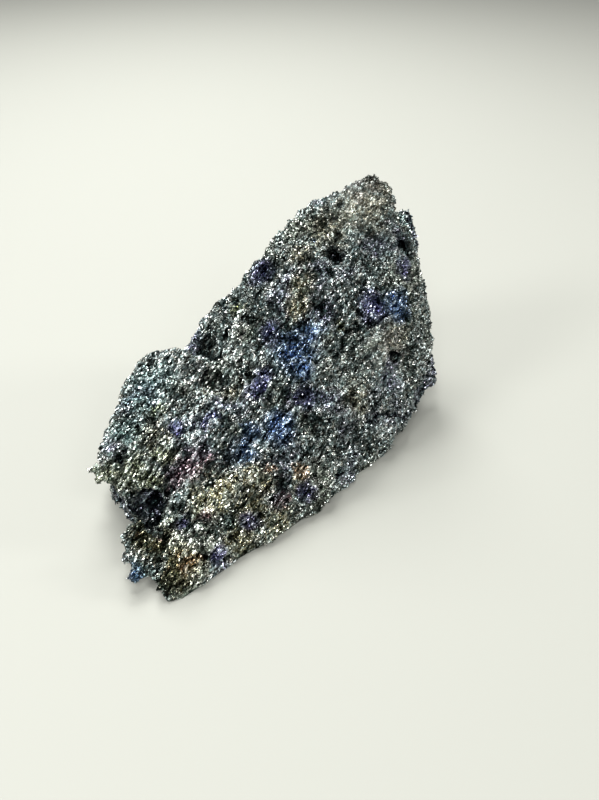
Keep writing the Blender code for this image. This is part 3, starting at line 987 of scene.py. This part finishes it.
class Value:
    """A number's socket in a shader, so that sums on it add their Math nodes."""

    def __init__(self, shader, socket):
        self.shader, self.socket = shader, socket

    def maths(self, operation, *numbers):
        """A sum of numbers, by the name of the Math operation."""
        return self.shader.node(
            "ShaderNodeMath", {"operation": operation}, dict(enumerate(numbers))
        )

    def __add__(self, other):
        return self.maths("ADD", self, other)

    __radd__ = __add__

    def __sub__(self, other):
        return self.maths("SUBTRACT", self, other)

    def __rsub__(self, other):
        return self.maths("SUBTRACT", other, self)

    def __mul__(self, other):
        return self.maths("MULTIPLY", self, other)

    __rmul__ = __mul__

    def __pow__(self, other):
        return self.maths("POWER", self, other)

    def __rpow__(self, other):
        return self.maths("POWER", other, self)


class Shader:
    """The nodes of one material."""

    def __init__(self, name):
        self.material = bpy.data.materials.new(name)
        self.material.use_nodes = True
        self.tree = self.material.node_tree
        self.tree.nodes.clear()

    def node(self, kind, settings, inputs, output=0):
        """A node of this kind with its settings, then its sockets' values or links."""
        node = self.tree.nodes.new(kind)
        for name, value in settings.items():
            setattr(node, name, value)
        for name, value in inputs.items():
            socket = node.inputs[name]
            if isinstance(value, Value):
                self.tree.links.new(value.socket, socket)
            else:
                socket.default_value = value
        return Value(self, node.outputs[output])

    def mix(self, factor, first, second, way="MIX"):
        """Two colours mixed by a factor."""
        first, second = (
            colour if isinstance(colour, Value) else (*colour, 1.0)
            for colour in (first, second)
        )
        return self.node(
            "ShaderNodeMix",
            {"data_type": "RGBA", "blend_type": way},
            {0: factor, 6: first, 7: second},
            2,
        )

    def vector(self, operation, *inputs, output="Vector"):
        """A sum of vectors, by the name of the Vector Math operation."""
        settings = {"operation": operation}
        inputs = dict(enumerate(inputs))
        return self.node("ShaderNodeVectorMath", settings, inputs, output)

    def attribute(self, name):
        """A number that the mesh keeps under this name."""
        return self.node("ShaderNodeAttribute", {"attribute_name": name}, {}, "Fac")

    def faded(self, value, start, end, low, high, way="SMOOTHSTEP"):
        """A value's way from start to end, as a number from low to high."""
        ends = {"From Min": start, "From Max": end, "To Min": low, "To Max": high}
        settings = {"interpolation_type": way}
        return self.node("ShaderNodeMapRange", settings, {"Value": value, **ends})

    def finished(self, surface):
        """The material, with this shader on its surface."""
        end = self.tree.nodes.new("ShaderNodeOutputMaterial")
        self.tree.links.new(surface.socket, end.inputs["Surface"])
        return self.material


def patches(shader, where, spots, strength):
    """How far each point lies in any of these spots, up to the strength."""
    mask = None
    for *share, radius in itertools.chain(*spots.values()):
        gap = shader.vector("DISTANCE", where, tuple(place(share)), output="Value")
        radius = radius * MILLIMETRE
        near = shader.faded(gap, radius * SPOT_EDGE, radius * SPOT_CORE, 0.0, strength)
        mask = near if mask is None else mask.maths("MAXIMUM", mask, near)
    return mask


def grains(shader, place_at):
    """Grains too small for the mesh: where each faces, and how bright it is.

    The place is squeezed along the grain way and cut into cells. A cell turns
    the surface's normal by its own random colour, and its brightness is the
    square of another random share of that, which falls towards the cell's edge.
    """
    along = shader.vector("DOT_PRODUCT", place_at, tuple(GRAIN), output="Value")
    squeeze = shader.node(
        "ShaderNodeVectorMath",
        {"operation": "SCALE"},
        {0: tuple(GRAIN), "Scale": along * (1 - 1 / GRAIN_STRETCH)},
        "Vector",
    )
    squeezed = shader.vector("SUBTRACT", place_at, squeeze)
    cell = {"Vector": squeezed, "Scale": 1 / GRAIN_WIDTH}
    way = shader.node("ShaderNodeTexVoronoi", {}, cell, "Color")
    gap = shader.node("ShaderNodeTexVoronoi", {}, cell, "Distance")
    turn = shader.vector("MULTIPLY_ADD", way, (GRAIN_TILT,) * 3, (-GRAIN_TILT / 2,) * 3)
    facing = shader.node("ShaderNodeNewGeometry", {}, {}, "Normal")
    lean = shader.vector("NORMALIZE", shader.vector("ADD", facing, turn))
    own = shader.node("ShaderNodeSeparateXYZ", {}, {0: way}, "X")
    shade = shader.faded(gap, *GRAIN_EDGE, 1.0, GRAIN_RIM, "LINEAR")
    return lean, (own**2 * GRAIN_MORE + GRAIN_LEAST) * shade


def bent(shader, place_at, wander, reach):
    """The place, moved by a noise from minus to plus half of this reach."""
    moved = shader.vector("MULTIPLY_ADD", wander, (reach,) * 3, place_at)
    return shader.vector("SUBTRACT", moved, (reach / 2,) * 3)


def crystal_tint(shader, where, place_at, spark, tone, colours):
    """The colour that the metal is multiplied by.

    Clean metal goes from cool to warm with each crystal's own tone, and clouds
    of large noise lay a faint violet or gold on it. Then each tarnish is mixed
    in where its spots lie, more on crystals of a high tone and a low spark.
    """
    cloud = shader.node(
        "ShaderNodeTexNoise",
        {},
        {"Vector": place_at, "Scale": CLOUD_SCALE, "Detail": 2.0},
    )
    tint = shader.mix(tone, colours.cool, colours.warm)
    violet = shader.faded(cloud, *VIOLET_CLOUDS) * tone
    tint = shader.mix(violet, tint, colours.violet)
    gold = shader.faded(cloud, *GOLD_CLOUDS) * (1 - tone)
    tint = shader.mix(gold, tint, colours.gold)
    own = (TARNISH_LEAST + tone * (1 - TARNISH_LEAST)) * (1 - spark * SPARK_PALES)
    for name, (strength, spots) in TARNISH.items():
        mask = patches(shader, where, spots, strength) * own
        tint = shader.mix(mask, tint, getattr(colours, name))
    return tint


def crystal_finish(colours):
    """Dark metal crystals, bright where their spark is high, with tarnish colours.

    The brightness is a power of each crystal's spark, which holds painted shade in
    the gaps, less in the dull spots of painted shade and more in the sparkling ones
    of painted glints and light, times that of its grains. In the velvet spots both
    are drawn towards their middle. The metal goes with the brightness from dark to
    silver, and the tint from its own square to paler.
    """
    kept = bpy.data.materials.get("crystal_metal")
    if kept:
        return kept
    shader = Shader("crystal_metal")
    place_at = shader.node("ShaderNodeTexCoord", {}, {}, "Object")
    spark, tone = shader.attribute("spark"), shader.attribute("tone")
    wander = shader.node(
        "ShaderNodeTexNoise",
        {"noise_dimensions": "3D"},
        {"Vector": place_at, "Scale": WANDER_SCALE, "Detail": 3.0},
        "Color",
    )
    where = bent(shader, place_at, wander, TARNISH_REACH)
    lean, shade = grains(shader, bent(shader, place_at, wander, GRAIN_REACH))
    tint = crystal_tint(shader, where, place_at, spark, tone, colours)
    soft = patches(shader, where, VELVET, SOFTNESS)
    shade = shade + (SOFT_SHADE - shade) * soft
    spark = spark + (SOFT_SPARK - spark) * soft
    # Painted shade: the dull spots, the cave among them, are darkened.
    shine = spark**SHINE_POWER * (1 - patches(shader, where, PAINTED_SHADE, PAINTED_SHADE_DEPTH))
    # Painted glints and light: the sparkling spots are brightened.
    painted_glint = patches(shader, where, PAINTED_GLINTS, PAINTED_GLINT_STRENGTH) * spark**PAINTED_GLINT_POWER
    shine = shine + painted_glint
    shine = shine.maths("MINIMUM", shine * shade, 1.0)
    metal = shader.mix(shine, colours.dark, colours.silver)
    deep = shader.mix(1.0, tint, tint, "MULTIPLY")
    pale = shader.mix(PALING, tint, (1.0, 1.0, 1.0))
    tint = shader.mix(shine, deep, pale)
    surface = shader.node(
        "ShaderNodeBsdfPrincipled",
        {},
        {
            "Base Color": shader.mix(1.0, metal, tint, "MULTIPLY"),
            "Metallic": 1.0,
            "Roughness": ROUGHNESS - tone * TONE_POLISH + soft * SOFT_ROUGHNESS,
            "Normal": lean,
        },
    )
    return shader.finished(surface)


# ---------------- operators


class CRYSTAL_OT_crust(bpy.types.Operator):
    """Makes the rough crust of the crystal mass, which stands for the solid"""

    bl_idname = "crystal.crust"
    bl_label = "Crust"

    def execute(self, context):
        scene = context.scene
        points, normals, corners, level, number = crust_of(scene)
        sides = np.full(len(corners), 3)
        mesh = make_mesh("crystal_crust", points, corners.ravel(), sides)
        own = np.random.default_rng(FACET_FINISH).uniform(0, 1, (NOISE_TABLE**3, 2))
        own = own[number[corners[:, 0]]]
        # Painted shade: each facet's spark is darker down in the gaps, by its level.
        height = GAP_SHADE + (1 - GAP_SHADE) * level[corners].mean(axis=1)
        add_numbers(mesh, "spark", "FACE", own[:, 0] * height)
        add_numbers(mesh, "tone", "FACE", own[:, 1])
        add_numbers(mesh, "side", "FACE", sides_faced(normals, corners), "INT")
        finish = crystal_finish(scene.crystal_tarnish)
        for count, part in enumerate(split_mesh(mesh, scene.crystal_crust.pieces)):
            box_map(part)
            crust = add_piece(f"crystal_crust_{count + 1}", part, finish)
            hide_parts(SOLID)
        return {"FINISHED"}


class CRYSTAL_OT_plates(bpy.types.Operator):
    """Makes the six-sided plates that stand on the crust"""

    bl_idname = "crystal.plates"
    bl_label = "Plates"

    def execute(self, context):
        scene = context.scene
        grow(scene, "crystal_plates", PLATE, scene.crystal_plates)
        return {"FINISHED"}


class CRYSTAL_OT_splinters(bpy.types.Operator):
    """Makes the four-sided splinters that stand on the crust, in a few pieces"""

    bl_idname = "crystal.splinters"
    bl_label = "Splinters"

    def execute(self, context):
        scene, size = context.scene, context.scene.crystal_splinters
        for group in range(size.groups):
            grow(scene, f"crystal_splinters_{group + 1}", SPLINTER, size, group)
        return {"FINISHED"}


class CRYSTAL_OT_studio(bpy.types.Operator):
    """Makes the floor, the softboxes, the room light and the camera"""

    bl_idname = "crystal.studio"
    bl_label = "Studio"

    def execute(self, context):
        settings = context.scene.crystal_studio
        self.floor(settings)
        self.lights(settings)
        self.camera(settings)
        return {"FINISHED"}

    def floor(self, settings):
        """A square on the ground, in matt paint."""
        ends = ((-1, -1), (1, -1), (1, 1), (-1, 1))
        corners = [(FLOOR_REACH * x, FLOOR_REACH * y, 0) for x, y in ends]
        mesh = bpy.data.meshes.new("floor")
        mesh.from_pydata(corners, [], [(0, 1, 2, 3)])
        floor = placed("floor", mesh)
        paint = Shader("floor_paint")
        surface = paint.node(
            "ShaderNodeBsdfPrincipled",
            {},
            {"Base Color": (*settings.floor, 1.0), "Roughness": 0.85},
        )
        mesh.materials.append(paint.finished(surface))

    def lights(self, settings):
        """The softboxes, which face the crystal's middle, and the room's own light."""
        middle = Vector((0, 0, SPAN[2] / 2))
        for name, (way, distance, side, share) in SOFTBOXES.items():
            data = bpy.data.lights.new(f"softbox {name}", "AREA")
            data.size = side
            data.energy = settings.softbox * share * math.pi * side**2
            toward = Vector(way).normalized()
            self.aim(placed(data.name, data), toward * distance + middle, -toward)
        world = bpy.data.worlds.new("room")
        world.use_nodes = True
        sky = world.node_tree.nodes["Background"].inputs["Color"]
        sky.default_value = (*(settings.room,) * 3, 1.0)
        bpy.context.scene.world = world

    def aim(self, item, spot, way):
        """Puts a light or a camera at a spot, facing this way."""
        item.location = spot
        item.rotation_mode = "QUATERNION"
        item.rotation_quaternion = way.to_track_quat("-Z", "Y")

    def camera(self, settings):
        """The camera, looking down on the broad face."""
        data = bpy.data.cameras.new("camera")
        data.sensor_fit, data.sensor_height = "VERTICAL", SENSOR_HEIGHT
        data.lens = settings.lens
        data.clip_start = 10 * MILLIMETRE
        camera = placed("camera", data)
        self.aim(camera, CAMERA_AT, Vector(CAMERA_WAY))
        bpy.context.scene.camera = camera
        bpy.context.scene.view_settings.view_transform = "Standard"


class CRYSTAL_PT_panel(bpy.types.Panel):
    """Lists the steps and the settings they read"""

    bl_idname = "CRYSTAL_PT_panel"
    bl_label = "Silicon carbide crystal"
    bl_space_type = "VIEW_3D"
    bl_region_type = "UI"
    bl_category = "Crystal"

    def draw(self, context):
        """Draws a box for each group of settings, with its step's button on top."""
        for group in GROUPS:
            box = self.layout.box()
            if group in STEPS:
                box.operator(STEPS[group].bl_idname)
            settings = getattr(context.scene, group)
            for name in settings.__annotations__:
                box.prop(settings, name)


GROUPS = {
    "crystal_tarnish": TarnishSettings,
    "crystal_crust": CrustSettings,
    "crystal_plates": PlateSettings,
    "crystal_splinters": SplinterSettings,
    "crystal_studio": StudioSettings,
}
STEPS = {
    "crystal_crust": CRYSTAL_OT_crust,
    "crystal_plates": CRYSTAL_OT_plates,
    "crystal_splinters": CRYSTAL_OT_splinters,
    "crystal_studio": CRYSTAL_OT_studio,
}
CLASSES = (*GROUPS.values(), *STEPS.values(), CRYSTAL_PT_panel)


def register():
    """Makes the settings, the steps and the panel known to Blender."""
    for made in CLASSES:
        bpy.utils.register_class(made)
    for name, group in GROUPS.items():
        setattr(bpy.types.Scene, name, PointerProperty(type=group))


def unregister():
    """Takes them away again."""
    for name in GROUPS:
        delattr(bpy.types.Scene, name)
    for made in reversed(CLASSES):
        bpy.utils.unregister_class(made)


def main():
    """Builds everything."""
    register()
    bpy.ops.crystal.crust()
    bpy.ops.crystal.plates()
    bpy.ops.crystal.splinters()
    bpy.ops.crystal.studio()
    bpy.context.view_layer.update()


if __name__ == "__main__":
    main()
